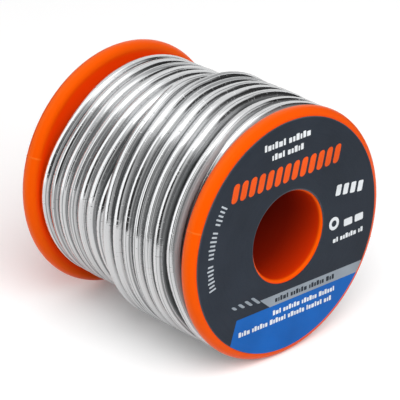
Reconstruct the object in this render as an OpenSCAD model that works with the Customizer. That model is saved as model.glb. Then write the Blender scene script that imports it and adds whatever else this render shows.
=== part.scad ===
// Spool of solder wire: a one-piece moulded spool, the round label on its front flange, and the wire.
// The spool's axis lies along Y, the label faces -Y, +Z is up, and the origin is the middle of the bore.
// An angle round the axis starts at the top (+Z) and grows towards -X.

/* [Spool] */
// Outside diameter of the two flanges
flange_d = 57; // [54:0.5:70]
// Overall width over the outer faces of the flanges
spool_w = 55; // [48:0.5:75]
// Thickness of each flange, whose rim is fully rounded
flange_t = 3.7; // [3:0.1:5]
// Diameter of the bore that runs on the spindle
bore_d = 20; // [14:0.5:22]
// Radius of the rounded lip at both mouths of the bore
lip_r = 0.8; // [0.4:0.1:1.5]
// Outside diameter of the barrel that the wire is wound on
barrel_d = 30; // [28:0.5:32]

/* [Label] */
// Thickness of the label
label_t = 0.2; // [0.1:0.05:0.4]
// Bare ring left between the label and the rounding of the rim or of the lip
label_margin = 0.05; // [0.02:0.01:0.5]

/* [Wire] */
// Diameter of the solder wire
wire_d = 3; // [2.9:0.05:3.1]
// Width over corners of the six-sided tube that stands for the wire
tube_d = 2.5; // [2.2:0.05:2.5]
// Spacing of the turns of the full layer
turn_pitch = 3.04; // [3.02:0.01:3.15]
// Spacing of the turns of the part layer on top
top_pitch = 3.2; // [3.1:0.05:3.3]
// Rise from one layer to the next, where turns lie in the grooves below
layer_rise = 2.6; // [2.6:0.05:2.8]
// How far the top layer stays below the rim of the flanges
rim_depth = 0.1; // [0.1:0.05:1]
// Turns of the full layer that the part layer leaves open, counted from the rear flange
open_turns = 7; // [5:1:9]
// Turns of the part layer
top_turns = 7; // [5:1:7]
// Extra gap that the top layer leaves after its first turn
lay_gap = 1.4; // [0:0.1:1.6]
// How far the open turns of the full layer stand out, as a mean round the spool
open_bulge = 0.45; // [0:0.05:0.5]
// How much further they stand out at the top of the spool, and less at the bottom
open_swing = 0.6; // [0:0.05:0.6]
// Clearance between a flange and the nearest turn
flange_gap = 0.05; // [0.02:0.01:0.2]

/* [Hidden] */

arc_fn = 96;
overcut = 1;

flange_r = flange_d / 2;
rim_r = flange_t / 2;
bore_r = bore_d / 2;
barrel_r = barrel_d / 2;
face_y = spool_w / 2;
inside_y = face_y - flange_t;

// The layers, from the middle of the wire
top_r = flange_r - rim_depth - wire_d / 2;
low_r = top_r - layer_rise;
under_r = low_r - layer_rise;
core_r = low_r - wire_d / 2;
core_gap = 0.05;

// The full layer fills the room between the flanges, and the turns under the part layer share its slack
edge_y = inside_y - flange_gap - wire_d / 2;
low_turns = floor(2 * edge_y / turn_pitch);
slack = (2 * edge_y - low_turns * turn_pitch) / (low_turns - open_turns);

// Angles of the route, in degrees of travel from its start under the first turn
ring_step = 15;
start_angle = 45;
rise_mid = 205;
rise_span = 60;
cross_mid = 340;
cross_span = 60;
last_cross_after = 275;
climb_after = 142.5;
climb_span = 75;
first_shift = 225;
high_shift = 315;
hidden_shift = 510;
shift_span = 45;
end_after = 85;
bulge_angle = 5;
cover_before = 20;
cover_mid = cross_mid + 360 * (open_turns - 1) - cover_before;
last_cross_mid = cross_mid + 360 * (low_turns - 2) + last_cross_after;
climb_mid = last_cross_mid + climb_after;
top_start = climb_mid + climb_span / 2;
route_end = ring_step * floor((top_start + 360 * top_turns + end_after) / ring_step);

// Groove in the core for the end of the layer below, beside the rear flange
groove_depth = layer_rise;
groove_w = wire_d + 2 * flange_gap;
groove_turn = rise_mid + rise_span / 2;
end_gap = 0.1;
pocket_extra = 0.2;
pocket_overlap = 4;

// 0 before the step, 1 after it, and smooth on the way
function ease(x) =
    let (t = min(1, max(0, x)))
    t * t * (3 - 2 * t);

// How much of one step is done at this travel
function step_done(travel, mid, span) = ease((travel - mid) / span + 0.5);

// How many steps of a series, one in each turn, are done at this travel
function steps_done(travel, first_mid, span) =
    let (
        q = (travel - first_mid + span / 2) / 360,
        n = floor(q)
    )
    q < 0 ? 0 : n + ease((q - n) * 360 / span);

// Distance of the full layer's turns from the first one
function low_shift(turns) = turns * turn_pitch + max(0, turns - open_turns) * slack;

function low_y(travel) =
    let (regular = min(low_turns - 1, steps_done(travel, cross_mid, cross_span)))
    edge_y - low_shift(regular + step_done(travel, last_cross_mid, cross_span));

// The top layer lies down in half steps, two in each turn
function top_y(travel) =
    let (
        t = travel - top_start,
        halves = step_done(t, first_shift, shift_span)
            + steps_done(t, high_shift, shift_span)
            + steps_done(t, hidden_shift, shift_span)
    )
    -edge_y + halves * top_pitch / 2 + lay_gap * step_done(t, hidden_shift, shift_span);

function route_y(travel) = travel < top_start ? low_y(travel) : top_y(travel);

function radial(angle) = [-sin(angle), 0, cos(angle)];
function along(angle) = [-cos(angle), 0, -sin(angle)];

// The six corners of the tube's section, two of them towards the neighbouring turns
function section(middle, angle) = [
    for (k = [0:5])
        middle + tube_d / 2 * (sin(60 * k) * radial(angle) + [0, cos(60 * k), 0])
];

function route_angle(travel) = start_angle - travel;

// Wound under tension, the open turns are a little out of round; those that another layer covers are not
function bulge(travel) =
    let (open = step_done(travel, rise_mid, rise_span) - step_done(travel, cover_mid, cross_span))
    open * (open_bulge + open_swing * cos(route_angle(travel) - bulge_angle));

function route_r(travel) =
    let (rises = step_done(travel, rise_mid, rise_span) + step_done(travel, climb_mid, climb_span))
    under_r + layer_rise * rises + bulge(travel);

function route_point(travel) =
    route_r(travel) * radial(route_angle(travel)) + [0, route_y(travel), 0];

// Rings along the route; both ends run straight on for one wire diameter
function route_rings() = [
    section(route_point(0) + wire_d * along(start_angle), start_angle),
    for (travel = [0 : ring_step : route_end]) section(route_point(travel), route_angle(travel)),
    section(route_point(route_end) - wire_d * along(route_angle(route_end)), route_angle(route_end))
];

// Closed tube of triangles through rings of six corners
module tube(rings) {
    last = len(rings) - 1;
    points = [for (ring = rings) for (p = ring) p];
    sides = [
        for (i = [0 : last - 1])
            for (k = [0:5])
                let (
                    a = 6 * i + k,
                    b = 6 * i + (k + 1) % 6,
                    c = a + 6,
                    d = b + 6
                )
                each [[a, c, b], [b, c, d]]
    ];
    first_cap = [for (k = [1:4]) [0, k, k + 1]];
    last_cap = [for (k = [1:4]) [6 * last, 6 * last + k + 1, 6 * last + k]];
    polyhedron(points = points, faces = concat(sides, first_cap, last_cap));
}

// Corners and middles of the sides of a ring, on which the gap between turns is measured
function gap_points(ring) = [for (k = [0:5]) each [ring[k], (ring[k] + ring[(k + 1) % 6]) / 2]];

function nearest(a, b) = min([for (p = a) for (q = b) norm(p - q)]);

// Least gap of the tube to itself: each ring against the rings of all later turns at the same angle
function least_gap(rings) =
    let (
        per_turn = 360 / ring_step,
        marks = [for (i = [1 : len(rings) - 2]) gap_points(rings[i])],
        middles = [for (ring = marks) (ring[0] + ring[6]) / 2]
    )
    min([
        for (i = [0 : len(marks) - 1 - per_turn])
            for (j = [i + per_turn : per_turn : len(marks) - 1])
                if (norm(middles[i] - middles[j]) < 2 * wire_d) nearest(marks[i], marks[j])
    ]);

// Turns a solid of revolution about Z so that its axis lies along Y
module on_axis() {
    rotate([-90, 0, 0]) children();
}

// Half of the outline of one flange with its full-round rim, from its inner face at height 0
module flange_outline() {
    translate([bore_r, 0]) square([flange_r - rim_r - bore_r, flange_t]);
    translate([flange_r - rim_r, rim_r]) circle(r = rim_r, $fn = arc_fn);
}

// Takes the sharp corner off the mouth of the bore and leaves the rounded lip
module lip_cut() {
    difference() {
        translate([bore_r - overcut, face_y - lip_r]) square([lip_r + overcut, lip_r + overcut]);
        translate([bore_r + lip_r, face_y - lip_r]) circle(r = lip_r, $fn = arc_fn);
    }
}

module spool_outline() {
    difference() {
        union() {
            translate([bore_r, -face_y]) square([barrel_r - bore_r, spool_w]);
            for (side = [0, 1]) mirror([0, side]) translate([0, inside_y]) flange_outline();
        }
        for (side = [0, 1]) mirror([0, side]) lip_cut();
    }
}

// One moulding: two flanges on a barrel
module spool() {
    color("orangered") on_axis() rotate_extrude($fn = arc_fn) spool_outline();
}

// Round printed label on the flat of the front flange
module label() {
    inner_r = bore_r + lip_r + label_margin;
    outer_r = flange_r - rim_r - label_margin;
    color("darkslategray") on_axis() translate([0, 0, -face_y - label_t]) rotate_extrude($fn = arc_fn)
        translate([inner_r, 0]) square([outer_r - inner_r, label_t]);
}

// Cuts the groove and, at its start, a pocket whose end wall stands square to the straight end of the wire
module groove_cut() {
    groove_r = core_r - groove_depth;
    pocket_l = wire_d + end_gap;
    pocket_w = groove_w + pocket_extra;
    pocket_r = groove_r - pocket_extra;
    on_axis() translate([0, 0, inside_y - groove_w]) rotate([0, 0, -90 - start_angle - pocket_overlap])
        rotate_extrude(angle = groove_turn + pocket_overlap, $fn = arc_fn)
        translate([groove_r, 0]) square([groove_depth + overcut, groove_w + overcut]);
    rotate([0, -start_angle, 0]) translate([-pocket_l, inside_y - pocket_w, pocket_r])
        cube([pocket_l, pocket_w + overcut, core_r - pocket_r + overcut]);
}

// The layers below the outer ones, as one plain core with a groove for the wire that comes up from them
module inner_winding() {
    inner_r = barrel_r + core_gap;
    core_w = 2 * (inside_y - core_gap);
    color("silver") difference() {
        on_axis() translate([0, 0, -core_w / 2]) rotate_extrude($fn = arc_fn)
            translate([inner_r, 0]) square([core_r - inner_r, core_w]);
        groove_cut();
    }
}

// The full layer and the part layer on top of it, as one unbroken tube
module outer_winding() {
    color("gainsboro") tube(route_rings());
}

echo(least_gap_of_the_winding = least_gap(route_rings()), loops = route_end / 360);

spool();
label();
inner_winding();
outer_winding();
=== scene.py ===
import math

import bpy
import numpy as np
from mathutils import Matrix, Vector


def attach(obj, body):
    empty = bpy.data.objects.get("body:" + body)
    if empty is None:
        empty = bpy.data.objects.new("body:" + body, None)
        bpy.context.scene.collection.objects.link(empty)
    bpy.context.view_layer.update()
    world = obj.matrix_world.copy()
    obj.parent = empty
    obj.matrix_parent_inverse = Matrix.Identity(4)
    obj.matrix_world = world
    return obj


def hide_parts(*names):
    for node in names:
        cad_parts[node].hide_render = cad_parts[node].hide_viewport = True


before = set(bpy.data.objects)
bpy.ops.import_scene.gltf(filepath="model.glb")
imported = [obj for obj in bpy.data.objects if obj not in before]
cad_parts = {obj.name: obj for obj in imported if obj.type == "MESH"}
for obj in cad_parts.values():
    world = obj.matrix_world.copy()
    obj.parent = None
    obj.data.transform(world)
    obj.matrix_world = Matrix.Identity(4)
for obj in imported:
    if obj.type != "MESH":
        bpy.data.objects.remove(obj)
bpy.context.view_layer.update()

# ---------------------------------------------------------------------------------------------------------
# The spool. One injection moulding in orange polypropylene: a hollow barrel between two round flanges with
# full-round rims and a plain bore with rounded lips. The mould opens in two halves, which leaves a fine
# parting line across each rim.

# Lengths are in metres, so MM is one millimetre. The spool's axis lies along Y and the label faces -Y. A
# height is measured along Y, and an angle round the spool from the top towards -X, in degrees.
MM = 0.001
FLANGE_R = 28.48 * MM
FACE_Y = 27.5 * MM
FLANGE_T = 3.7 * MM
RIM_R = FLANGE_T / 2
BORE_R = 10.0 * MM
LIP_R = 0.8 * MM
BARREL_R = 15.0 * MM
INSIDE_Y = FACE_Y - FLANGE_T
CORNER_R = 0.15 * MM
ARC_STEPS = 14
CORNER_STEPS = 3
BORE_STEPS = 8
LATHE_STEP = 1.5

# The parting line is a low ridge round each rim. Its section is given as places in half widths of the
# ridge and parts of its height, and the lathe's even steps keep clear of it by so many half widths.
PARTING_ANGLES = (71.0, 251.0)
PARTING_WIDTH = 0.25 * MM
PARTING_HEIGHT = 0.09 * MM
PARTING_FROM = FLANGE_R - RIM_R + 0.1 * MM
PARTING_SECTION = ((-2, 0), (-1, 0), (-0.3, 1), (0.3, 1), (1, 0), (2, 0))
PARTING_ROOM = 3

# The plastic: the slow change of shade from its flow in the mould, the orange peel, and the marks that
# rolling leaves round the rims. Real peel and marks are finer and are drawn as coarse as they need to show.
FLOW_CLOUD = 11.0 * MM
PEEL = 0.7 * MM
MARK_W = 0.22 * MM
MARK_L = 5.0 * MM
ROLLED = 0.35 * MM

# The radii between which the rims turn paler with a painted highlight, and the heights between which the
# lips do
RIM_HIGHLIGHT_FROM = FLANGE_R - 1.5 * RIM_R
RIM_HIGHLIGHT_TO = FLANGE_R - 0.6 * RIM_R
LIP_HIGHLIGHT_FROM = FACE_Y - 1.3 * LIP_R
LIP_HIGHLIGHT_TO = FACE_Y - 0.6 * LIP_R

# The painted shade in the bore, dark red deeper inside: the skin of the wall that it covers, the depth at
# which it is full, the power by which it deepens on the way, and how much roughness comes with it
BORE_SHADE_SKIN = 0.6 * MM
BORE_SHADE_FROM = FACE_Y - 0.5 * LIP_R
BORE_SHADE_DEPTH = 10.0 * MM
BORE_SHADE_CURVE = 0.33
BORE_ROUGH = 0.35

# The node that mixes two colours has several sockets of each name, so they go by number
MIX_BY, MIX_FROM, MIX_TO, MIXED = 0, 6, 7, 2


def colour(hex_code):
    """An sRGB hex colour as linear RGBA."""
    parts = [int(hex_code[i : i + 2], 16) / 255 for i in (1, 3, 5)]
    linear = [c / 12.92 if c <= 0.04045 else ((c + 0.055) / 1.055) ** 2.4 for c in parts]
    return (*linear, 1.0)


def add_node(material, kind, sockets=(), **settings):
    """Adds one shader node, sets its settings, and sets or links its sockets."""
    node = material.node_tree.nodes.new(kind)
    for name, value in settings.items():
        setattr(node, name, value)
    for name, value in dict(sockets).items():
        if isinstance(value, bpy.types.NodeSocket):
            material.node_tree.links.new(value, node.inputs[name])
        else:
            node.inputs[name].default_value = value
    return node


def new_material(name):
    """An empty node material with its output; returns both."""
    material = bpy.data.materials.new(name)
    material.use_nodes = True
    material.node_tree.nodes.clear()
    output = add_node(material, "ShaderNodeOutputMaterial")
    return material, output


def new_piece(name, points, faces, material, smooth=True):
    """A mesh piece from points and faces, in metres."""
    mesh = bpy.data.meshes.new(name)
    mesh.from_pydata([tuple(p) for p in points], [], faces)
    mesh.materials.append(material)
    mesh.polygons.foreach_set("use_smooth", [smooth] * len(mesh.polygons))
    piece = bpy.data.objects.new(name, mesh)
    bpy.context.scene.collection.objects.link(piece)
    return piece


def arc(centre_r, centre_y, radius, start, end, steps=ARC_STEPS):
    """Points (r, y) along an arc; degrees from the outward direction towards +Y."""
    angles = np.radians(np.linspace(start, end, steps + 1))
    return [(centre_r + radius * math.cos(a), centre_y + radius * math.sin(a)) for a in angles]


def around(r, y, angle):
    """The point at this radius, height and angle round the spool."""
    a = math.radians(angle)
    return (-r * math.sin(a), y, r * math.cos(a))


def spool_outline():
    """The moulding's closed outline, from the front lip over the front flange to the rear lip."""
    lip_y = FACE_Y - LIP_R
    rim_y = FACE_Y - RIM_R
    rim_at = FLANGE_R - RIM_R
    lip_at = BORE_R + LIP_R
    corner_at = BARREL_R + CORNER_R
    front = arc(lip_at, -lip_y, LIP_R, 180, 270)
    front += [(r, -FACE_Y) for r in (lip_at + CORNER_R, (lip_at + rim_at) / 2, rim_at - CORNER_R)]
    front += arc(rim_at, -rim_y, RIM_R, 270, 450, 2 * ARC_STEPS)
    front += [(rim_at - CORNER_R, -INSIDE_Y), (corner_at, -INSIDE_Y)]
    front += arc(corner_at, CORNER_R - INSIDE_Y, CORNER_R, 270, 180, CORNER_STEPS)
    rear = [(r, -y) for r, y in reversed(front)]
    wall = [(BORE_R, y) for y in np.linspace(lip_y, -lip_y, BORE_STEPS + 1)[1:-1]]
    return front + rear + wall


def spool_angles():
    """Angles of the lathe's steps, each with the ridge's part of its height there."""
    half = math.degrees(PARTING_WIDTH / 2 / FLANGE_R)
    steps = {float(a): 0.0 for a in np.arange(0, 360, LATHE_STEP)}
    for middle in PARTING_ANGLES:
        for a in list(steps):
            if abs(a - middle) < PARTING_ROOM * half:
                del steps[a]
        for offset, lift in PARTING_SECTION:
            steps[middle + offset * half] = lift
    return sorted(steps.items())


def ring_faces(rings, n):
    """Faces between closed outlines of n points each, set in a ring where the last meets the first."""
    faces = []
    for i in range(rings):
        here, there = i * n, (i + 1) % rings * n
        for j in range(n):
            k = (j + 1) % n
            faces.append((here + j, here + k, there + k, there + j))
    return faces


def lathe_spool(material):
    """The moulding: its outline turned round the axis, raised on the rims at the parting lines."""
    outline = spool_outline()
    angles = spool_angles()
    points = []
    for angle, lift in angles:
        for r, y in outline:
            raised = lift * PARTING_HEIGHT if r > PARTING_FROM else 0.0
            points.append(around(r + raised, y, angle))
    return new_piece("moulded_spool", points, ring_faces(len(angles), len(outline)), material)


def polar_place(material, place):
    """Sockets of a place's distance from the spool's axis, its angle round it, and its height."""
    split = add_node(material, "ShaderNodeSeparateXYZ", {"Vector": place})
    flat = add_node(material, "ShaderNodeCombineXYZ", {"X": split.outputs["X"], "Z": split.outputs["Z"]})
    radius = add_node(material, "ShaderNodeVectorMath", {0: flat.outputs["Vector"]}, operation="LENGTH")
    turn = add_node(
        material, "ShaderNodeMath", {0: split.outputs["X"], 1: split.outputs["Z"]}, operation="ARCTAN2"
    )
    return radius.outputs["Value"], turn.outputs[0], split.outputs["Y"]


def orange_polypropylene():
    """Injection-moulded polypropylene. The eye sees a strong even orange with a waxy, warm sheen and a
    faint orange peel. The rims and the bore's lips are a little paler with a painted highlight, and the
    rims have fine marks round them where they roll and a whitish line where flash was trimmed off the
    parting line. Painted shade makes the bore dark red, and rougher, deeper inside."""
    material, output = new_material("orange_polypropylene")
    place = add_node(material, "ShaderNodeTexCoord").outputs["Object"]
    clouds = add_node(
        material, "ShaderNodeTexNoise", {"Vector": place, "Scale": 1 / FLOW_CLOUD, "Detail": 3.0}
    )
    tint = add_node(
        material,
        "ShaderNodeMix",
        {MIX_BY: clouds.outputs["Fac"], MIX_FROM: colour("#F23600"), MIX_TO: colour("#F94000")},
        data_type="RGBA",
    )
    radius, turn, height = polar_place(material, place)
    # Painted highlight: the rounded rims and the bore's lips turn a paler orange
    paler = add_node(
        material,
        "ShaderNodeMapRange",
        {"Value": radius, "From Min": RIM_HIGHLIGHT_FROM, "From Max": RIM_HIGHLIGHT_TO},
        interpolation_type="SMOOTHSTEP",
    )
    lip_highlight = add_node(
        material,
        "ShaderNodeMapRange",
        {"Value": radius, "From Min": BORE_R + LIP_R, "From Max": BORE_R + LIP_R / 2},
    )
    off_middle = add_node(material, "ShaderNodeMath", {0: height}, operation="ABSOLUTE")
    at_mouth = add_node(
        material,
        "ShaderNodeMapRange",
        {"Value": off_middle.outputs[0], "From Min": LIP_HIGHLIGHT_FROM, "From Max": LIP_HIGHLIGHT_TO},
    )
    on_lip = add_node(
        material,
        "ShaderNodeMath",
        {0: lip_highlight.outputs["Result"], 1: at_mouth.outputs["Result"]},
        operation="MULTIPLY",
    )
    rim_and_lip_highlight = add_node(
        material, "ShaderNodeMath", {0: paler.outputs["Result"], 1: on_lip.outputs[0]}, operation="MAXIMUM"
    )
    # The paler orange of the painted highlight
    highlighted_tint = add_node(
        material,
        "ShaderNodeMix",
        {MIX_BY: rim_and_lip_highlight.outputs[0], MIX_FROM: tint.outputs[MIXED], MIX_TO: colour("#EA5200")},
        data_type="RGBA",
    )
    # Painted shade: the bore's wall turns dark red deeper inside
    in_bore = add_node(
        material,
        "ShaderNodeMapRange",
        {"Value": radius, "From Min": BORE_R + BORE_SHADE_SKIN, "From Max": BORE_R},
    )
    inward = add_node(
        material,
        "ShaderNodeMapRange",
        {"Value": off_middle.outputs[0], "From Min": BORE_SHADE_FROM, "From Max": FACE_Y - BORE_SHADE_DEPTH},
    )
    # How the bore's painted shade grows with depth
    film = add_node(
        material, "ShaderNodeMath", {0: inward.outputs["Result"], 1: BORE_SHADE_CURVE}, operation="POWER"
    )
    painted_bore_shade = add_node(
        material,
        "ShaderNodeMath",
        {0: in_bore.outputs["Result"], 1: film.outputs[0]},
        operation="MULTIPLY",
    )
    # The dark red of the bore's painted shade
    bore_shaded = add_node(
        material,
        "ShaderNodeMix",
        {MIX_BY: painted_bore_shade.outputs[0], MIX_FROM: highlighted_tint.outputs[MIXED], MIX_TO: colour("#8C1A05")},
        data_type="RGBA",
    )
    unscaled = add_node(material, "ShaderNodeCombineXYZ", {"X": turn, "Y": radius, "Z": height})
    marks_at = add_node(
        material,
        "ShaderNodeVectorMath",
        {0: unscaled.outputs["Vector"], 1: (FLANGE_R / MARK_L, 1 / MARK_W, 1 / MARK_W)},
        operation="MULTIPLY",
    )
    marks = add_node(
        material, "ShaderNodeTexNoise", {"Vector": marks_at.outputs["Vector"], "Scale": 1.0, "Detail": 2.0}
    )
    rolled = add_node(
        material,
        "ShaderNodeMapRange",
        {"Value": radius, "From Min": FLANGE_R - ROLLED, "From Max": FLANGE_R, "To Max": 0.3},
        interpolation_type="SMOOTHSTEP",
    )
    rubbed = add_node(
        material,
        "ShaderNodeMath",
        {0: rolled.outputs["Result"], 1: marks.outputs["Fac"]},
        operation="MULTIPLY",
    )
    off_parting = add_node(
        material,
        "ShaderNodeVectorMath",
        {0: place, 1: around(1, 0, PARTING_ANGLES[0] + 90)},
        operation="DOT_PRODUCT",
    )
    beside = add_node(material, "ShaderNodeMath", {0: off_parting.outputs["Value"]}, operation="ABSOLUTE")
    trimmed = add_node(
        material,
        "ShaderNodeMapRange",
        {
            "Value": beside.outputs[0],
            "From Min": PARTING_WIDTH,
            "From Max": PARTING_WIDTH / 2,
            "To Max": 0.45,
        },
    )
    whitened = add_node(
        material,
        "ShaderNodeMath",
        {0: trimmed.outputs["Result"], 1: paler.outputs["Result"]},
        operation="MULTIPLY",
    )
    marked = add_node(
        material, "ShaderNodeMath", {0: rubbed.outputs[0], 1: whitened.outputs[0]}, operation="MAXIMUM"
    )
    worn = add_node(
        material,
        "ShaderNodeMix",
        {MIX_BY: marked.outputs[0], MIX_FROM: bore_shaded.outputs[MIXED], MIX_TO: colour("#F07828")},
        data_type="RGBA",
    )
    rough = add_node(
        material,
        "ShaderNodeMapRange",
        {"Value": marks.outputs["Fac"], "From Min": 0.3, "From Max": 0.7, "To Min": 0.3, "To Max": 0.44},
    )
    # Rougher where the bore's shade is painted
    dulled = add_node(
        material,
        "ShaderNodeMath",
        {0: painted_bore_shade.outputs[0], 1: BORE_ROUGH, 2: rough.outputs["Result"]},
        operation="MULTIPLY_ADD",
    )
    peel = add_node(material, "ShaderNodeTexNoise", {"Vector": place, "Scale": 1 / PEEL, "Detail": 2.0})
    peel_bump = add_node(
        material, "ShaderNodeBump", {"Height": peel.outputs["Fac"], "Strength": 0.06, "Distance": 0.2 * MM}
    )
    bump = add_node(
        material,
        "ShaderNodeBump",
        {
            "Height": marks.outputs["Fac"],
            "Strength": 0.12,
            "Distance": 0.02 * MM,
            "Normal": peel_bump.outputs["Normal"],
        },
    )
    shader = add_node(
        material,
        "ShaderNodeBsdfPrincipled",
        {
            "Base Color": worn.outputs[MIXED],
            "Roughness": dulled.outputs[0],
            "IOR": 1.49,
            "Specular IOR Level": 0.2,
            "Specular Tint": colour("#FFC864"),
            "Normal": bump.outputs["Normal"],
        },
    )
    material.node_tree.links.new(shader.outputs["BSDF"], output.inputs["Surface"])
    return material


spool = lathe_spool(orange_polypropylene())
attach(spool, "root")
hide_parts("spool")

# ---------------------------------------------------------------------------------------------------------
# The solder wire. One unbroken 3 mm wire of tin alloy, drawn through a die and wound under tension. A full
# layer runs from flange to flange in the grooves of the layer beneath, and a part layer of the opposite
# hand lies in its grooves in turn, from the front flange to a cut end at the middle.

# The radius and the height of a turn are those of the wire's middle. A hidden layer at UNDER_R leads into
# the full layer at LOW_R, and that one climbs to the part layer at TOP_R. A full layer ends with a step of
# what its whole pitches leave over, and the part layer leaves an extra gap after its first turn.
WIRE_R = 1.5 * MM
WIRE_SIDES = 16
RING_STEP = 4.0
PITCH = 3.04 * MM
TOP_PITCH = 3.2 * MM
LAYER_RISE = 2.6 * MM
TOP_R = 26.88 * MM
LOW_R = TOP_R - LAYER_RISE
UNDER_R = LOW_R - LAYER_RISE
FLANGE_GAP = 0.05 * MM
EDGE_Y = INSIDE_Y - WIRE_R - FLANGE_GAP
FULL_TURNS = int(2 * EDGE_Y / PITCH)
LAST_STEP = 2 * EDGE_Y - FULL_TURNS * PITCH
LAY_GAP = 1.4 * MM
TOP_TURNS = 7
OPEN_TURNS = 7

# The turns bulge a little, because wire wound under tension never lies quite round: the open turns most
# near the top of the spool, and the part layer in the span just past it, its last turns most of all.
BULGE_AT = 5.0
OPEN_BULGE = 0.45 * MM
OPEN_SWING = 0.6 * MM
TOP_BULGE = 0.35 * MM
LAST_BULGE = 0.28 * MM
TOP_BULGE_SPAN = 60

# Wire fed by hand is uneven too, in two slow waves, each with its share, the radians it turns in a degree
# of travel, and how the seed moves it
UNEVEN = 0.06 * MM
WAVES = ((0.6, 0.0231, 1.0), (0.4, 0.0587, 2.3))
R_SEED, Y_SEED = 1.0, 4.0

# Marks of the die along the wire, dull bands, and nicks across it. The real die lines are a few hundredths
# of a millimetre wide and are drawn as coarse as they need to show. Each pattern has its size along the
# wire, its size round it, and its detail.
DIE_LINE_W = 0.45 * MM
DIE_LINE_L = 60.0 * MM
BAND_W = 1.2 * MM
BAND_L = 14.0 * MM
NICK_W = 0.5 * MM
NICK_L = 2.0 * MM
WIRE_PATTERNS = ((DIE_LINE_L, DIE_LINE_W, 0.0), (BAND_L, BAND_W, 2.0), (NICK_W, NICK_L, 1.0))

# Where the turns lie against each other their flanks are dull and darker with oxide and painted shade, and
# deep in the grooves they are matt with more painted shade, both measured round the wire from its crest
FLANK_FROM = 0.8 * MM
FLANK_TO = 1.8 * MM
FLANK_PAINTED_SHADE = 0.45
GROOVE_FROM = 1.65 * MM
GROOVE_TO = 2.1 * MM
GROOVE_PAINTED_SHADE = 0.5
OXIDE_ROUGH = 0.4

# Beside the front flange the flanks carry a pale painted highlight, which starts and is full so far off the
# flange
FLANGE_HIGHLIGHT_FROM = 4.2 * MM
FLANGE_HIGHLIGHT_TO = 2.4 * MM

# A band across the turns, in degrees round the spool, carries a painted highlight: there the die lines and
# the painted flank shade fade
HIGHLIGHT_ANGLE = 24.0
HIGHLIGHT_EDGE = 21.0
HIGHLIGHT_CORE = 6.0

# Where things happen along the wire, in degrees of travel from the first turn of the layer beneath. A turn
# of a full layer lies still for most of the way round and then crosses to the next groove.
UNDER_CROSS = 90.0
UNDER_LAST = UNDER_CROSS + 360 * (FULL_TURNS - 1) + 200
RISE_AT = UNDER_LAST + 250
CROSS_AT = RISE_AT + 135
CROSS_LAST = CROSS_AT + 360 * (FULL_TURNS - 1) + 275
CLIMB_AT = CROSS_LAST + 116
TOP_START = CROSS_LAST + 180
ROUTE_END = TOP_START + 360 * TOP_TURNS + 85
COVER_AT = CROSS_AT + 360 * (OPEN_TURNS - 1) - 20
DIVE_AT = TOP_START + 360 * TOP_TURNS - 25

# The angle round the spool where the wire starts, which brings the full layer's crossings to 65 degrees
START_ANGLE = 65 + CROSS_AT

# How much travel a crossing takes, the climb to the part layer, and the dive of its last turn beside the
# open ones, and how deep that goes
CROSS_SPAN = 60
CLIMB_SPAN = 80
DIVE_SPAN = 40
DIVE = 1.3 * MM

# The part layer's steps, as travel from its start to the middle of the step, and the span: its first half
# step off the flange, then in each turn one quick half step and another that is part quick and part slow.
# The gap after its first turn and the growth of its bulge go the same way.
FIRST_STEP = (230, 34)
QUICK_STEPS = (309, 36)
FAR_STEPS = (510, 45)
SLOW_STEPS = (650, 110)
SLOW_PART = 0.4
GAP_STEP = (560, 60)
BULGE_GROWS = (500, 600)
LAST_GROWS = (1980, 300)


def ease(x):
    """0 below 0, 1 above 1, and smooth between them."""
    t = min(1.0, max(0.0, x))
    return t * t * (3 - 2 * t)


def step_done(travel, middle, span):
    """How much of one sideways or outward step is done at this travel."""
    return ease((travel - middle) / span + 0.5)


def steps_done(travel, first, span, most=math.inf):
    """How many steps are done, of a series with one step in each turn."""
    q = (travel - first + span / 2) / 360
    if q < 0:
        return 0.0
    whole = min(math.floor(q), most)
    return min(whole + ease((q - whole) * 360 / span), most)


def drift(travel, seed):
    """The small unevenness of hand-fed wire, from -1 to 1."""
    return sum(share * math.sin(rate * travel + phase * seed) for share, rate, phase in WAVES)


def open_bulge(travel):
    """How far the full layer stands out, from where it starts to where the part layer covers it."""
    still_open = step_done(travel, RISE_AT, CROSS_SPAN) - step_done(travel, COVER_AT, CROSS_SPAN)
    swing = math.cos(math.radians(START_ANGLE - travel - BULGE_AT))
    return still_open * (OPEN_BULGE + OPEN_SWING * swing)


def top_bulge(travel):
    """How far the part layer stands out, just past the top of the spool."""
    past_top = (travel - START_ANGLE) % 360
    if past_top > TOP_BULGE_SPAN:
        return 0.0
    t = travel - TOP_START
    most = TOP_BULGE * step_done(t, *BULGE_GROWS) + LAST_BULGE * step_done(t, *LAST_GROWS)
    return most * math.sin(math.pi * past_top / TOP_BULGE_SPAN)


def top_y(t):
    """Height of the part layer at this travel from its start."""
    halves = step_done(t, *FIRST_STEP) + steps_done(t, *QUICK_STEPS)
    halves += (1 - SLOW_PART) * steps_done(t, *FAR_STEPS) + SLOW_PART * steps_done(t, *SLOW_STEPS)
    return -EDGE_Y + halves * TOP_PITCH / 2 + LAY_GAP * step_done(t, *GAP_STEP)


def wire_place(travel):
    """Radius and height of the wire's middle at this travel."""
    if travel < RISE_AT - CROSS_SPAN:
        y = -EDGE_Y + PITCH * steps_done(travel, UNDER_CROSS, CROSS_SPAN, FULL_TURNS)
        return UNDER_R, y + LAST_STEP * step_done(travel, UNDER_LAST, CROSS_SPAN)
    rises = step_done(travel, RISE_AT, CROSS_SPAN) + step_done(travel, CLIMB_AT, CLIMB_SPAN)
    r = UNDER_R + LAYER_RISE * rises
    if travel < TOP_START:
        r += open_bulge(travel) + UNEVEN * drift(travel, R_SEED)
        y = EDGE_Y - PITCH * steps_done(travel, CROSS_AT, CROSS_SPAN, FULL_TURNS)
        y -= LAST_STEP * step_done(travel, CROSS_LAST, CROSS_SPAN)
    else:
        sunk = step_done(travel, DIVE_AT, DIVE_SPAN)
        r += top_bulge(travel) * (1 - sunk) - DIVE * sunk
        y = top_y(travel - TOP_START)
    return r, y + UNEVEN * drift(travel, Y_SEED)


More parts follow.
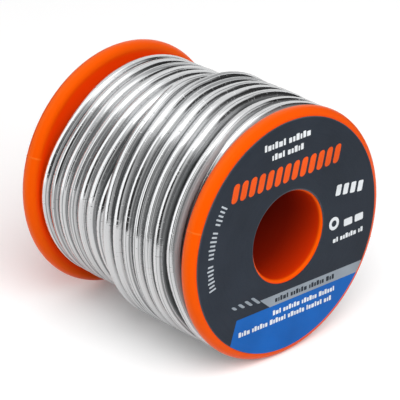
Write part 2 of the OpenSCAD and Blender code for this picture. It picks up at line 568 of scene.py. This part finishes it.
def wind_wire(material):
    """The wire as a round tube along its route, with its length and girth unrolled on a UV map."""
    travels = np.arange(0.0, ROUTE_END + RING_STEP / 2, RING_STEP)
    middles = []
    for travel in travels:
        r, y = wire_place(travel)
        middles.append(around(r, y, START_ANGLE - travel))
    middles = np.array(middles)
    along = np.gradient(middles, axis=0)
    along /= np.linalg.norm(along, axis=1)[:, None]
    across = np.array([0.0, 1.0, 0.0]) - along * along[:, 1:2]
    across /= np.linalg.norm(across, axis=1)[:, None]
    outward = np.cross(along, across)
    turn = np.radians(np.arange(WIRE_SIDES) * 360 / WIRE_SIDES + 180)
    girth = 2 * math.pi * WIRE_R / WIRE_SIDES
    rings = middles[:, None, :] + WIRE_R * (
        np.cos(turn)[None, :, None] * outward[:, None, :] + np.sin(turn)[None, :, None] * across[:, None, :]
    )
    points = rings.reshape(-1, 3)
    lengths = np.concatenate([[0.0], np.cumsum(np.linalg.norm(np.diff(middles, axis=0), axis=1))])
    faces = []
    unrolled = []
    for i in range(len(travels) - 1):
        for k in range(WIRE_SIDES):
            a = i * WIRE_SIDES + k
            b = i * WIRE_SIDES + (k + 1) % WIRE_SIDES
            faces.append((a, b, b + WIRE_SIDES, a + WIRE_SIDES))
            near, far = girth * k, girth * (k + 1)
            unrolled += [(lengths[i], near), (lengths[i], far)]
            unrolled += [(lengths[i + 1], far), (lengths[i + 1], near)]
    last = (len(travels) - 1) * WIRE_SIDES
    faces.append(tuple(range(WIRE_SIDES))[::-1])
    faces.append(tuple(last + k for k in range(WIRE_SIDES)))
    unrolled += [(0.0, girth * k) for k in range(2 * WIRE_SIDES)]
    piece = new_piece("solder_wire", points, faces, material)
    layer = piece.data.uv_layers.new(name="along_the_wire")
    layer.data.foreach_set("uv", np.array(unrolled, dtype=np.float32).ravel())
    return piece


def drawn_tin_alloy():
    """Bare tin alloy, drawn. The eye sees a bright white metal with fine lines along it from the die,
    softer bands, and small nicks across it from handling. The flanks, where the turns lie against each
    other, are duller and greyer with oxide and painted shade, and matt in the grooves. Beside the front
    flange they carry a pale painted highlight, and across one band of turns round the spool a painted
    highlight fades the flank shade and the die lines."""
    material, output = new_material("drawn_tin_alloy")
    place = add_node(material, "ShaderNodeUVMap", uv_map="along_the_wire").outputs["UV"]
    patterns = []
    for along, girth, detail in WIRE_PATTERNS:
        scaled = add_node(
            material, "ShaderNodeMapping", {"Vector": place, "Scale": (1 / along, 1 / girth, 1.0)}
        )
        pattern = add_node(
            material,
            "ShaderNodeTexNoise",
            {"Vector": scaled.outputs["Vector"], "Scale": 1.0, "Detail": detail},
        )
        patterns.append(pattern.outputs["Fac"])
    lines, bands, nicks = patterns
    nick_depth = add_node(
        material, "ShaderNodeMapRange", {"Value": nicks, "From Min": 0.64, "From Max": 0.74}
    )
    tint = add_node(
        material,
        "ShaderNodeMix",
        {MIX_BY: bands, MIX_FROM: colour("#C8C9CA"), MIX_TO: colour("#DCDDDE")},
        data_type="RGBA",
    )
    streaks = add_node(
        material,
        "ShaderNodeMapRange",
        {"Value": lines, "From Min": 0.54, "From Max": 0.62, "To Max": 0.65},
    )
    where = add_node(material, "ShaderNodeTexCoord").outputs["Object"]
    off_axis = add_node(material, "ShaderNodeVectorMath", {0: where, 1: (1, 0, 1)}, operation="MULTIPLY")
    facing = add_node(
        material, "ShaderNodeVectorMath", {0: off_axis.outputs["Vector"]}, operation="NORMALIZE"
    )
    # Painted highlight: in a band of turns round one angle of the spool the die lines and the flank shade
    # fade
    to_highlight = add_node(
        material,
        "ShaderNodeVectorMath",
        {0: facing.outputs["Vector"], 1: around(1, 0, HIGHLIGHT_ANGLE)},
        operation="DOT_PRODUCT",
    )
    outside_highlight = add_node(
        material,
        "ShaderNodeMapRange",
        {
            "Value": to_highlight.outputs["Value"],
            "From Min": math.cos(math.radians(HIGHLIGHT_EDGE)),
            "From Max": math.cos(math.radians(HIGHLIGHT_CORE)),
            "To Min": 1.0,
            "To Max": 0.45,
        },
        interpolation_type="SMOOTHSTEP",
    )
    streaked = add_node(
        material,
        "ShaderNodeMath",
        {0: streaks.outputs["Result"], 1: outside_highlight.outputs["Result"]},
        operation="MULTIPLY",
    )
    lined = add_node(
        material,
        "ShaderNodeMix",
        {MIX_BY: streaked.outputs[0], MIX_FROM: tint.outputs[MIXED], MIX_TO: colour("#5E6062")},
        data_type="RGBA",
    )
    split = add_node(material, "ShaderNodeSeparateXYZ", {"Vector": place})
    from_crest = add_node(
        material, "ShaderNodeMath", {0: split.outputs["Y"], 1: math.pi * WIRE_R}, operation="SUBTRACT"
    )
    aside = add_node(material, "ShaderNodeMath", {0: from_crest.outputs[0]}, operation="ABSOLUTE")
    # Painted shade on the flanks between the turns, growing from the crest outwards
    rubbed = add_node(
        material,
        "ShaderNodeMapRange",
        {"Value": aside.outputs[0], "From Min": FLANK_FROM, "From Max": FLANK_TO},
        interpolation_type="SMOOTHSTEP",
    )
    grooved = add_node(
        material,
        "ShaderNodeMapRange",
        {
            "Value": aside.outputs[0],
            "From Min": GROOVE_FROM,
            "From Max": GROOVE_TO,
            "To Max": 0.85,
        },
        interpolation_type="SMOOTHSTEP",
    )
    flank_shade_part = add_node(
        material, "ShaderNodeMath", {0: rubbed.outputs["Result"], 1: FLANK_PAINTED_SHADE}, operation="MULTIPLY"
    )
    painted_turn_shade = add_node(
        material,
        "ShaderNodeMath",
        {0: grooved.outputs["Result"], 1: GROOVE_PAINTED_SHADE, 2: flank_shade_part.outputs[0]},
        operation="MULTIPLY_ADD",
    )
    # The painted shade between the turns, faded in the band of the painted highlight
    dulled = add_node(
        material,
        "ShaderNodeMath",
        {0: painted_turn_shade.outputs[0], 1: outside_highlight.outputs["Result"]},
        operation="MULTIPLY",
    )
    # The flanks turn to a dark grey of oxide and painted shade
    shaded_flank = add_node(
        material,
        "ShaderNodeMix",
        {MIX_BY: dulled.outputs[0], MIX_FROM: lined.outputs[MIXED], MIX_TO: colour("#45484A")},
        data_type="RGBA",
    )
    height = add_node(material, "ShaderNodeSeparateXYZ", {"Vector": where})
    # Painted highlight: a pale matt grey on the flanks beside the front flange, in place of the flange's
    # orange reflection
    by_flange = add_node(
        material,
        "ShaderNodeMapRange",
        {
            "Value": height.outputs["Y"],
            "From Min": FLANGE_HIGHLIGHT_FROM - INSIDE_Y,
            "From Max": FLANGE_HIGHLIGHT_TO - INSIDE_Y,
            "To Max": 0.88,
        },
        interpolation_type="SMOOTHSTEP",
    )
    flange_highlight = add_node(
        material,
        "ShaderNodeMath",
        {0: by_flange.outputs["Result"], 1: rubbed.outputs["Result"]},
        operation="MULTIPLY",
    )
    # The flanks beside the front flange turn pale with the painted highlight
    beside = add_node(
        material,
        "ShaderNodeMix",
        {MIX_BY: flange_highlight.outputs[0], MIX_FROM: shaded_flank.outputs[MIXED], MIX_TO: colour("#939597")},
        data_type="RGBA",
    )
    dull = add_node(
        material,
        "ShaderNodeMapRange",
        {"Value": bands, "From Min": 0.3, "From Max": 0.7, "To Min": 0.17, "To Max": 0.1},
    )
    bare = add_node(
        material,
        "ShaderNodeMapRange",
        {"Value": rubbed.outputs["Result"], "To Min": 1.0, "To Max": 0.88},
    )
    # Matt where the grooves hold oxide and under the painted highlight beside the front flange
    oxide_and_flange_highlight = add_node(
        material,
        "ShaderNodeMath",
        {0: flange_highlight.outputs[0], 1: grooved.outputs["Result"]},
        operation="MAXIMUM",
    )
    coated = add_node(
        material,
        "ShaderNodeMath",
        {0: bare.outputs["Result"], 1: oxide_and_flange_highlight.outputs[0]},
        operation="SUBTRACT",
    )
    powdery = add_node(
        material,
        "ShaderNodeMath",
        {0: oxide_and_flange_highlight.outputs[0], 1: OXIDE_ROUGH, 2: dull.outputs["Result"]},
        operation="MULTIPLY_ADD",
    )
    line_bump = add_node(
        material,
        "ShaderNodeBump",
        {"Height": lines, "Strength": 1.0, "Distance": 0.08 * MM},
    )
    nick_bump = add_node(
        material,
        "ShaderNodeBump",
        {
            "Height": nick_depth.outputs["Result"],
            "Strength": 0.7,
            "Distance": 0.05 * MM,
            "Normal": line_bump.outputs["Normal"],
        },
        invert=True,
    )
    shader = add_node(
        material,
        "ShaderNodeBsdfPrincipled",
        {
            "Base Color": beside.outputs[MIXED],
            "Metallic": coated.outputs[0],
            "Roughness": powdery.outputs[0],
            "Normal": nick_bump.outputs["Normal"],
        },
    )
    material.node_tree.links.new(shader.outputs["BSDF"], output.inputs["Surface"])
    return material


wire = wind_wire(drawn_tin_alloy())
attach(wire, "root")
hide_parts("outer_winding", "inner_winding")

# ---------------------------------------------------------------------------------------------------------
# The label. One round sheet of satin polyester film with a round hole, printed and then stuck on the flat
# of the front flange. Its print is plain: rows of blocks for lines of print, slanted strokes, and fields.

# The hole is punched a little low, the cut edges are rubbed round, and the ink lies in two layers on the
# film's front and is rooted in its skin
LABEL_IN = 10.55 * MM
HOLE_LOW = 0.2 * MM
LABEL_OUT = 26.6 * MM
LABEL_T = 0.2 * MM
INK_T = 0.01 * MM
FILM_FRONT = FACE_Y + LABEL_T - 2 * INK_T
INK_ROOT = FILM_FRONT - 2 * INK_T
CUT_EDGE = 0.04 * MM
LABEL_STEPS = 240
LAP_STEPS = 3

# The print's grain, the slow change of the ink's shade, the rubbed ring at the two cut edges, and scuffs
# round the spool. Real grain and scuffs are finer and are drawn as coarse as they need to show.
PRINT_GRAIN = 0.35 * MM
INK_CLOUD = 9.0 * MM
RUBBED_EDGE = 0.25 * MM
SCUFF_R = 20.0 * MM
SCUFF_W = 0.3 * MM
SCUFF_L = 6.0 * MM
ROUGH_RANGE = 0.16

# Widths and heights of the blocks in a row of print, as parts of the row's height
BLOCK_W = (0.45, 0.62, 0.34, 0.55, 0.72, 0.4, 0.58)
BLOCK_H = (1.0, 0.78, 0.78, 1.0, 0.78)
BLOCK_GAP = 0.2
WORD_GAP = 0.45
WORD_BLOCKS = 6
ROUND_STEPS = 4

# From here down to print_shapes all sizes are in millimetres, right of and above the middle of the bore.
# The blue field falls a little to its right, its left side slants down to the edge of the print, and the
# grey band with its slanted nose lies along its top.
PRINT_R = 26.55
FIELD_LEFT, FIELD_TOP, FIELD_FALL = -15.2, -14.8, 0.028
FIELD_SIDE = (-0.34, -1.0)
FIELD_STEPS, BAND_STEPS = 60, 6
BAND_H = 2.5
BAND_LEFT, BAND_NOSE = -8.3, 2.9

# A row of print is its left end, its right end, its middle's place above, the height of its blocks, and
# where it starts in the series of their widths and heights. Those in the field and in the band are placed
# above the field's top edge.
ROWS = ((-7.4, 6.9, 22.4, 1.5, 0), (-5.2, 4.5, 19.8, 1.4, 2), (13.7, 23.0, -5.7, 1.15, 4))
FIELD_ROWS = ((-4.4, 15.6, -1.75, 1.15, 3), (-14.6, 13.6, -3.75, 1.15, 8))
BAND_ROW = (-3.8, 14.6, 1.25, 1.15, 1)

# A row of strokes is how many there are, the x, z, width, height, corner, turn and lean of the first one,
# and what each next one adds to them
STROKES = (13, (-15.7, 14.9, 1.75, 4.2, 0.8, 0.0, 0.25), (2.5, 0, 0, 0, 0, 0, 0))
FIGURES = (4, (15.1, 6.0, 1.5, 2.5, 0.3, -6.0, 0.12), (2.25, -0.35, 0, 0, 0, 0, 0))
TAIL = (4, (-9.6, -12.0, 0.9, 2.0, 0.3, 0.0, -1.1), (-2.1, 0.1, 0, -0.35, 0, 0, 0))
RING = (13.9, -1.6, 3.1, 3.1, 1.55)
RING_HOLE = (13.9, -1.6, 1.5, 1.5, 0.75)
BY_RING = (2, (18.3, -2.5, 2.6, 1.7, 0.3), (3.4, 0, 0, 0, 0))

# The ticks round the left edge, of which one in each group is left out
TICKS, TICK_FROM, TICK_STEP = 22, 56.0, 2.35
TICK_R, TICK_W, TICK_L, TICK_CORNER = 22.8, 0.4, 1.9, 0.1
TICK_GROUP, TICK_OUT = 8, 5

# The order of the label's materials
FILM, WHITE, ORANGE, BLUE, GREY, PALE = range(6)


def block(x, z, wide, high, corner=0.12, turn=0.0, lean=0.0):
    """Outline of a block with round corners, turned by some degrees and leaning to its right."""
    corner = min(corner, wide / 2, high / 2)
    t = math.radians(turn)
    outline = []
    for right, up, start in ((1, 1, 0), (-1, 1, 90), (-1, -1, 180), (1, -1, 270)):
        for step in range(ROUND_STEPS + 1):
            a = math.radians(start + 90 * step / ROUND_STEPS)
            pz = up * (high / 2 - corner) + corner * math.sin(a)
            px = right * (wide / 2 - corner) + corner * math.cos(a) + lean * pz
            turned_x = px * math.cos(t) - pz * math.sin(t)
            turned_z = px * math.sin(t) + pz * math.cos(t)
            outline.append((x + turned_x, z + turned_z))
    return outline


def print_row(left, right, above, high, first, top=0.0, fall=0.0):
    """A row of plain blocks, as a line of print looks from too far off to be read."""
    outlines = []
    x = left
    k = first
    while x + high * BLOCK_W[k % len(BLOCK_W)] < right:
        wide = high * BLOCK_W[k % len(BLOCK_W)]
        tall = high * BLOCK_H[k % len(BLOCK_H)]
        z = top + above - (high - tall) / 2 - fall * (x - FIELD_LEFT)
        outlines.append(block(x + wide / 2, z, wide, tall))
        k += 1
        x += wide + high * (BLOCK_GAP + (WORD_GAP if k % WORD_BLOCKS == 0 else 0))
    return outlines


def stroke_row(number, first, step):
    """A row of blocks, each changed by one more step than the one before."""
    return [block(*(a + k * b for a, b in zip(first, step))) for k in range(number)]


def tick_arc():
    """Ticks round the left edge of the label."""
    outlines = []
    for k in range(TICKS):
        if k % TICK_GROUP != TICK_OUT:
            angle = TICK_FROM + TICK_STEP * k
            x, _, z = around(TICK_R, 0, angle)
            long = TICK_L * BLOCK_H[k % len(BLOCK_H)]
            outlines.append(block(x, z, long, TICK_W, TICK_CORNER, angle + 90))
    return outlines


def edge_angle(x, z, way):
    """Angle, from the right, at which a line from a point meets the edge of the print."""
    size = math.hypot(*way)
    dx, dz = way[0] / size, way[1] / size
    along = x * dx + z * dz
    reach = math.sqrt(along**2 - x * x - z * z + PRINT_R**2) - along
    return math.atan2(z + reach * dz, x + reach * dx)


def edge_points(start, end, steps):
    """Points along the edge of the print, between two angles from the right."""
    return [(PRINT_R * math.cos(a), PRINT_R * math.sin(a)) for a in np.linspace(start, end, steps + 1)]


def print_shapes():
    """Every printed shape: its ink, its layer on the film, and its outline."""
    level = (1.0, -FIELD_FALL)
    right_end = edge_angle(FIELD_LEFT, FIELD_TOP, level)
    foot = edge_points(edge_angle(FIELD_LEFT, FIELD_TOP, FIELD_SIDE), right_end, FIELD_STEPS)
    field = [(FIELD_LEFT, FIELD_TOP)] + foot
    band_bottom = FIELD_TOP - FIELD_FALL * (BAND_LEFT + BAND_NOSE - FIELD_LEFT)
    band_top = FIELD_TOP + BAND_H - FIELD_FALL * (BAND_LEFT - FIELD_LEFT)
    band_end = edge_points(right_end, edge_angle(FIELD_LEFT, FIELD_TOP + BAND_H, level), BAND_STEPS)
    band = [(BAND_LEFT + BAND_NOSE, band_bottom)] + band_end + [(BAND_LEFT, band_top)]
    groups = [(BLUE, 1, [field]), (GREY, 1, [band]), (GREY, 1, stroke_row(*TAIL))]
    groups += [(WHITE, 1, print_row(*row)) for row in ROWS]
    groups += [(WHITE, 2, print_row(*row, FIELD_TOP, FIELD_FALL)) for row in FIELD_ROWS]
    groups += [
        (FILM, 2, print_row(*BAND_ROW, FIELD_TOP, FIELD_FALL)),
        (ORANGE, 1, stroke_row(*STROKES)),
        (WHITE, 1, stroke_row(*FIGURES)),
        (WHITE, 1, [block(*RING)]),
        (FILM, 2, [block(*RING_HOLE)]),
        (WHITE, 1, stroke_row(*BY_RING)),
        (PALE, 1, tick_arc()),
    ]
    return [(ink, layer, outline) for ink, layer, outlines in groups for outline in outlines]


def lip_drop(r):
    """How far the lip's rounding has dropped below the face at this radius."""
    return LIP_R - math.sqrt(LIP_R**2 - (BORE_R + LIP_R - r) ** 2)


def film_outline(hole_r):
    """The film's closed outline where its hole has this radius, from the hole's front edge outwards. The
    hole's edge is rubbed down on the rounding of the bore's lip."""
    laps = [(r, lip_drop(r)) for r in np.linspace(hole_r, BORE_R + LIP_R, LAP_STEPS + 1)]
    outline = [(hole_r, laps[0][1] + CUT_EDGE - FILM_FRONT)]
    outline += [(hole_r + CUT_EDGE, lip_drop(hole_r + CUT_EDGE) - FILM_FRONT)]
    outline += [(r, drop - FILM_FRONT) for r, drop in laps[1:]]
    outline += [((LABEL_IN + LABEL_OUT) / 2, -FILM_FRONT), (LABEL_OUT - CUT_EDGE, -FILM_FRONT)]
    outline += [(LABEL_OUT, CUT_EDGE - FILM_FRONT), (LABEL_OUT, -FACE_Y)]
    return outline + [(r, drop - FACE_Y) for r, drop in reversed(laps)]


def cut_label(materials):
    """The film and the ink in and on its skin, as one mesh."""
    points = []
    for i in range(LABEL_STEPS):
        angle = i * 360 / LABEL_STEPS
        hole_r = LABEL_IN - HOLE_LOW * math.cos(math.radians(angle))
        points += [around(r, y, angle) for r, y in film_outline(hole_r)]
    n = len(film_outline(LABEL_IN))
    faces = [(a, d, c, b) for a, b, c, d in ring_faces(LABEL_STEPS, n)]
    face_inks = [FILM] * len(faces)
    for ink, layer, shape in print_shapes():
        n = len(shape)
        front = len(points)
        root = front + n
        points += [(x * MM, -FILM_FRONT - layer * INK_T, z * MM) for x, z in shape]
        points += [(x * MM, -INK_ROOT, z * MM) for x, z in shape]
        faces += [tuple(range(front, root)), tuple(range(root, root + n))[::-1]]
        faces += [(front + (j + 1) % n, front + j, root + j, root + (j + 1) % n) for j in range(n)]
        face_inks += [ink] * (n + 2)
    piece = new_piece("printed_label", points, faces, materials[FILM], smooth=False)
    for material in materials[1:]:
        piece.data.materials.append(material)
    piece.data.polygons.foreach_set("material_index", face_inks)
    return piece


def print_on_film(name, hex_code, rough_least):
    """Ink under the satin skin of polyester film. The eye sees an even, flat colour with a soft sheen, a
    fine grain of print, faint scuffs round the spool, and a paler ring where the cut edges are rubbed."""
    material, output = new_material(name)
    place = add_node(material, "ShaderNodeTexCoord").outputs["Object"]
    grain = add_node(
        material, "ShaderNodeTexNoise", {"Vector": place, "Scale": 1 / PRINT_GRAIN, "Detail": 2.0}
    )
    clouds = add_node(
        material, "ShaderNodeTexNoise", {"Vector": place, "Scale": 1 / INK_CLOUD, "Detail": 3.0}
    )
    radius, turn, _ = polar_place(material, place)
    shade = add_node(
        material,
        "ShaderNodeMapRange",
        {"Value": clouds.outputs["Fac"], "From Min": 0.3, "From Max": 0.7, "To Min": 0.88, "To Max": 1.1},
    )
    ink = add_node(
        material,
        "ShaderNodeVectorMath",
        {0: colour(hex_code)[:3], "Scale": shade.outputs["Result"]},
        operation="SCALE",
    )
    outer_rub = add_node(
        material,
        "ShaderNodeMapRange",
        {"Value": radius, "From Min": LABEL_OUT - RUBBED_EDGE, "From Max": LABEL_OUT, "To Max": 0.3},
    )
    inner_rub = add_node(
        material,
        "ShaderNodeMapRange",
        {"Value": radius, "From Min": LABEL_IN + RUBBED_EDGE, "From Max": LABEL_IN, "To Max": 0.25},
    )
    rub = add_node(
        material,
        "ShaderNodeMath",
        {0: outer_rub.outputs["Result"], 1: inner_rub.outputs["Result"]},
        operation="MAXIMUM",
    )
    patchy = add_node(
        material, "ShaderNodeMath", {0: rub.outputs[0], 1: clouds.outputs["Fac"]}, operation="MULTIPLY"
    )
    worn = add_node(
        material,
        "ShaderNodeMix",
        {MIX_BY: patchy.outputs[0], MIX_FROM: ink.outputs["Vector"], MIX_TO: colour("#9AA0A6")},
        data_type="RGBA",
    )
    unscaled = add_node(material, "ShaderNodeCombineXYZ", {"X": turn, "Y": radius})
    scuffs_at = add_node(
        material,
        "ShaderNodeVectorMath",
        {0: unscaled.outputs["Vector"], 1: (SCUFF_R / SCUFF_L, 1 / SCUFF_W, 0)},
        operation="MULTIPLY",
    )
    scuffs = add_node(
        material, "ShaderNodeTexNoise", {"Vector": scuffs_at.outputs["Vector"], "Scale": 1.0, "Detail": 1.0}
    )
    both = add_node(
        material,
        "ShaderNodeMath",
        {0: scuffs.outputs["Fac"], 1: grain.outputs["Fac"]},
        operation="MULTIPLY",
    )
    rough = add_node(
        material,
        "ShaderNodeMapRange",
        {
            "Value": both.outputs[0],
            "From Min": 0.12,
            "From Max": 0.42,
            "To Min": rough_least,
            "To Max": rough_least + ROUGH_RANGE,
        },
    )
    bump = add_node(
        material, "ShaderNodeBump", {"Height": grain.outputs["Fac"], "Strength": 0.1, "Distance": 0.01 * MM}
    )
    shader = add_node(
        material,
        "ShaderNodeBsdfPrincipled",
        {
            "Base Color": worn.outputs[MIXED],
            "Roughness": rough.outputs["Result"],
            "Specular IOR Level": 0.14,
            "Normal": bump.outputs["Normal"],
        },
    )
    material.node_tree.links.new(shader.outputs["BSDF"], output.inputs["Surface"])
    return material


inks = [
    print_on_film("slate_polyester_film", "#262D37", 0.42),
    print_on_film("white_screen_ink", "#DDE1E4", 0.4),
    print_on_film("orange_screen_ink", "#E9540A", 0.4),
    print_on_film("blue_screen_ink", "#0A5DAF", 0.38),
    print_on_film("grey_screen_ink", "#8F98A1", 0.4),
    print_on_film("pale_screen_ink", "#AEB5BC", 0.4),
]
label = cut_label(inks)
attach(label, "root")
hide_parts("label")

# ---------------------------------------------------------------------------------------------------------
# The white sheet. A wide sheet of matt white card that the spool stands on, in a white surround. Seen
# directly or in the metal the surround is white and the card is lifted to white, and it keeps the shadow.

FLOOR_Z = -FLANGE_R
FLOOR_HALF = 3.0
SURROUND_LIGHT = 0.55
FLOOR_LIFT = 0.1


def seen_directly(target):
    """1 for camera, glossy and transmission rays, 0 for the light that falls on a surface."""
    path = add_node(target, "ShaderNodeLightPath")
    seen = add_node(
        target,
        "ShaderNodeMath",
        {0: path.outputs["Is Camera Ray"], 1: path.outputs["Is Glossy Ray"]},
        operation="MAXIMUM",
    )
    through = add_node(
        target,
        "ShaderNodeMath",
        {0: seen.outputs[0], 1: path.outputs["Is Transmission Ray"]},
        operation="MAXIMUM",
    )
    return through.outputs[0]


# Matt white card: an even white with no gloss
floor_material, floor_output = new_material("matt_white_card")
card = add_node(floor_material, "ShaderNodeBsdfDiffuse", {"Color": colour("#F7F7F7"), "Roughness": 0.5})
lift = add_node(
    floor_material,
    "ShaderNodeMapRange",
    {"Value": seen_directly(floor_material), "To Max": FLOOR_LIFT},
)
lifted = add_node(floor_material, "ShaderNodeEmission", {"Strength": lift.outputs["Result"]})
sheet = add_node(
    floor_material, "ShaderNodeAddShader", {0: card.outputs["BSDF"], 1: lifted.outputs["Emission"]}
)
floor_material.node_tree.links.new(sheet.outputs["Shader"], floor_output.inputs["Surface"])
corners = [(x * FLOOR_HALF, y * FLOOR_HALF, FLOOR_Z) for x, y in ((-1, -1), (1, -1), (1, 1), (-1, 1))]
floor = new_piece("white_sheet", corners, [(0, 1, 2, 3)], floor_material)

world = bpy.data.worlds.new("studio")
world.use_nodes = True
bpy.context.scene.world = world
strength = add_node(
    world, "ShaderNodeMapRange", {"Value": seen_directly(world), "To Min": SURROUND_LIGHT}
)
background = world.node_tree.nodes["Background"]
background.inputs["Color"].default_value = colour("#FFFFFF")
world.node_tree.links.new(strength.outputs["Result"], background.inputs["Strength"])

# ---------------------------------------------------------------------------------------------------------
# The reflector boards. Pale and dark card bent round the spool from the sheet up, and one round board over
# it. Only reflections see them, and they give the bright wire its streaks; they put no light on the spool.

BOARD_STEPS = 24


def hide_from_all_but_reflections(piece):
    """Hides a board from every ray but the glossy ones."""
    piece.visible_camera = False
    piece.visible_diffuse = False
    piece.visible_shadow = False
    piece.visible_transmission = False


def board(name, azimuths, distance, height, light, fade=None):
    """A bent board. Azimuths are degrees from +Y towards +X, and heights are above the sheet. With fade,
    its light turns to white between these two heights."""
    points = []
    for a in np.radians(np.linspace(*azimuths, BOARD_STEPS + 1)):
        for z in (0, height):
            points.append((distance * math.sin(a), distance * math.cos(a), FLOOR_Z + z))
    faces = [(2 * i, 2 * i + 1, 2 * i + 3, 2 * i + 2) for i in range(BOARD_STEPS)]
    material, output = new_material(name)
    strength = light
    if fade:
        place = add_node(material, "ShaderNodeTexCoord").outputs["Object"]
        split = add_node(material, "ShaderNodeSeparateXYZ", {"Vector": place})
        ramp = add_node(
            material,
            "ShaderNodeMapRange",
            {
                "Value": split.outputs["Z"],
                "From Min": FLOOR_Z + fade[0],
                "From Max": FLOOR_Z + fade[1],
                "To Min": light,
            },
            interpolation_type="SMOOTHSTEP",
        )
        strength = ramp.outputs["Result"]
    glow = add_node(material, "ShaderNodeEmission", {"Strength": strength})
    material.node_tree.links.new(glow.outputs["Emission"], output.inputs["Surface"])
    hide_from_all_but_reflections(new_piece(name, points, faces, material))


# Each board's azimuths, distance, height, light, and the heights between which its light turns to white
board("bright_board", (-78, -10), 155 * MM, 330 * MM, 1.5)
board("dark_strip", (-102, -78), 152 * MM, 330 * MM, 0.04, (110 * MM, 300 * MM))
board("pale_strip", (-124, -102), 151 * MM, 330 * MM, 0.62, (130 * MM, 320 * MM))
board("grey_board", (-165, -124), 150 * MM, 330 * MM, 0.4, (130 * MM, 320 * MM))
board("front_board", (152, 195), 158 * MM, 130 * MM, 0.2, (50 * MM, 130 * MM))
board("dark_board", (85, 152), 160 * MM, 270 * MM, 0.03, (190 * MM, 270 * MM))
board("low_board", (-27, 28), 150 * MM, 115 * MM, 0.1, (70 * MM, 115 * MM))

# The round board over the spool is brightest at its middle and fades to white at its rim
OVER_AT = Vector((-70 * MM, 0, 300 * MM))
OVER_R = 220 * MM
OVER_LIGHT = 2.2
over_material, over_output = new_material("over_board")
over_place = add_node(over_material, "ShaderNodeTexCoord").outputs["Object"]
over_offset = add_node(
    over_material, "ShaderNodeVectorMath", {0: over_place, 1: OVER_AT}, operation="DISTANCE"
)
over_ramp = add_node(
    over_material,
    "ShaderNodeMapRange",
    {
        "Value": over_offset.outputs["Value"],
        "From Min": 0.4 * OVER_R,
        "From Max": OVER_R,
        "To Min": OVER_LIGHT,
    },
    interpolation_type="SMOOTHSTEP",
)
over_glow = add_node(over_material, "ShaderNodeEmission", {"Strength": over_ramp.outputs["Result"]})
over_material.node_tree.links.new(over_glow.outputs["Emission"], over_output.inputs["Surface"])
over_rim = [OVER_AT + Vector(around(OVER_R, 0, a)).xzy for a in range(0, 360, 10)]
over_board = new_piece("over_board", over_rim, [tuple(range(len(over_rim)))], over_material)
hide_from_all_but_reflections(over_board)

# ---------------------------------------------------------------------------------------------------------
# The lamp and the camera. One large soft lamp to the upper left of the label, and a long lens that looks
# a little down on the spool from the same side.

LAMP_AT = Vector((-0.22, -0.42, 0.52))
LAMP_SIZE = 0.6
LAMP_WATTS = 4.0

lamp_data = bpy.data.lights.new("soft_lamp", "AREA")
lamp_data.shape = "SQUARE"
lamp_data.size = LAMP_SIZE
lamp_data.energy = LAMP_WATTS
lamp = bpy.data.objects.new("soft_lamp", lamp_data)
lamp.location = LAMP_AT
lamp.rotation_euler = (-LAMP_AT).to_track_quat("-Z", "Y").to_euler()
lamp.visible_glossy = False
bpy.context.scene.collection.objects.link(lamp)

# The camera's own axes in the spool's frame, and how far the middle of the label lies along each of them
VIEW_RIGHT = Vector((0.7291, -0.6844, 0.0))
VIEW_DOWN = Vector((-0.2911, -0.3101, -0.9050))
VIEW_AHEAD = Vector((0.6194, 0.6599, -0.4253))
LABEL_FROM_LENS = (18.69 * MM, 7.64 * MM, 533.09 * MM)
LENS_MM = 226.0
SENSOR_MM = 36.0

camera_data = bpy.data.cameras.new("camera")
camera_data.lens = LENS_MM
camera_data.sensor_width = SENSOR_MM
camera = bpy.data.objects.new("camera", camera_data)
bpy.context.scene.collection.objects.link(camera)
right, down, ahead = LABEL_FROM_LENS
camera.location = Vector((0, -FACE_Y, 0)) - right * VIEW_RIGHT - down * VIEW_DOWN - ahead * VIEW_AHEAD
camera.rotation_euler = VIEW_AHEAD.to_track_quat("-Z", "Y").to_euler()
bpy.context.scene.camera = camera
bpy.context.scene.view_settings.view_transform = "Standard"
